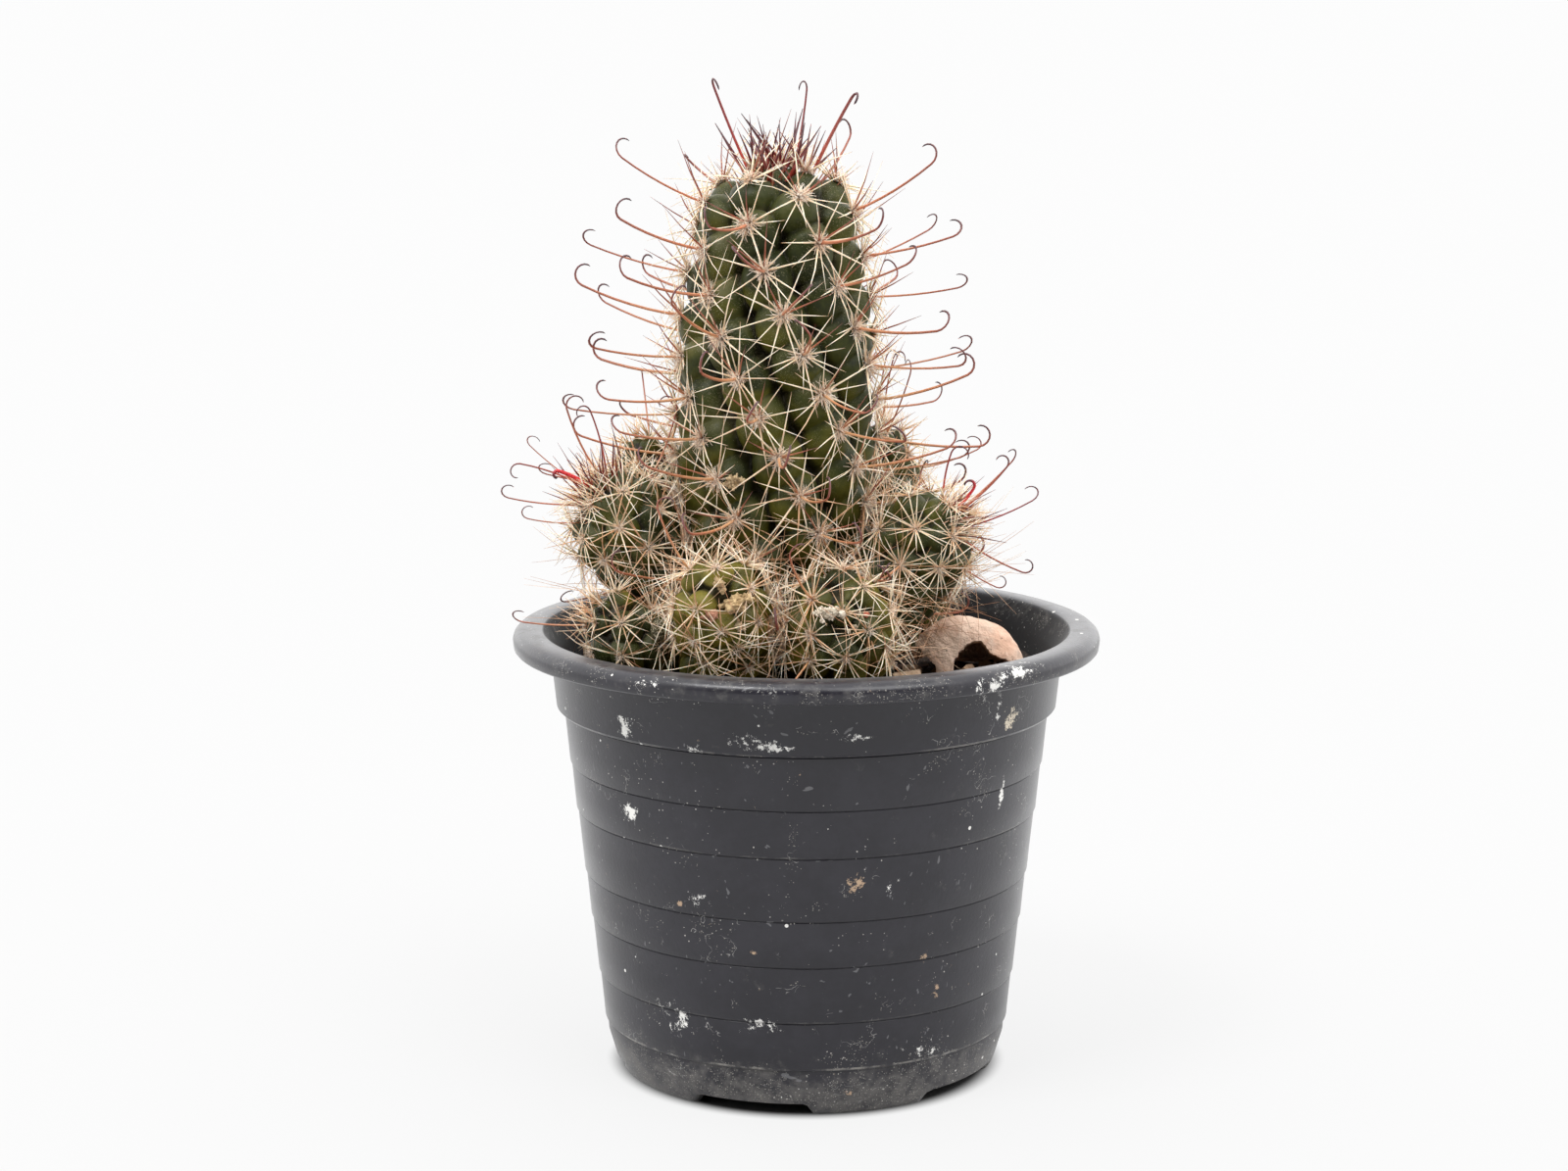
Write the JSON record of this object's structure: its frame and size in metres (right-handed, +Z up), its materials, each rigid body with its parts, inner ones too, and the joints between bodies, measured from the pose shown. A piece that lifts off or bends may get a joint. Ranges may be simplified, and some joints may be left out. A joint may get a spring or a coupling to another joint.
{
  "type": "potted fishhook cactus",
  "caption": "Fishhook cactus clump with a tall column and low offsets in a dark plastic nursery pot, with a dry husk shell on the potting mix.",
  "frame": {"origin": "centre of the pot's foot, on the surface that it stands on", "axes": "+Z up along the pot's axis; -Y towards the picture's viewer; +X to the viewer's right"},
  "size_m": [0.101, 0.1, 0.1687],
  "materials": {
    "pot_plastic": "worn matt moulding with dust and lime marks",
    "potting_mix": "dark crumbled bark mix",
    "dry_husk": "dry and papery",
    "cactus_flesh": "dull waxy green with pale dots",
    "cactus_spines": "horny spines, ivory to red-brown",
    "areole_wool": "short matted wool",
    "dead_spines": "dry thin fibres",
    "dried_flowers": "dry and crumpled"
  },
  "bodies": {
    "root": {"pot": "pot_plastic", "soil": "potting_mix", "husk": "dry_husk", "stem_main": "cactus_flesh", "offset_upper_left": "cactus_flesh", "offset_lower_left": "cactus_flesh", "offset_front_left": "cactus_flesh", "offset_front_right": "cactus_flesh", "offset_right": "cactus_flesh", "offset_back_right": "cactus_flesh", "offset_low_right": "cactus_flesh", "offset_back": "cactus_flesh", "offset_back_left": "cactus_flesh"}
  },
  "joints": []
}
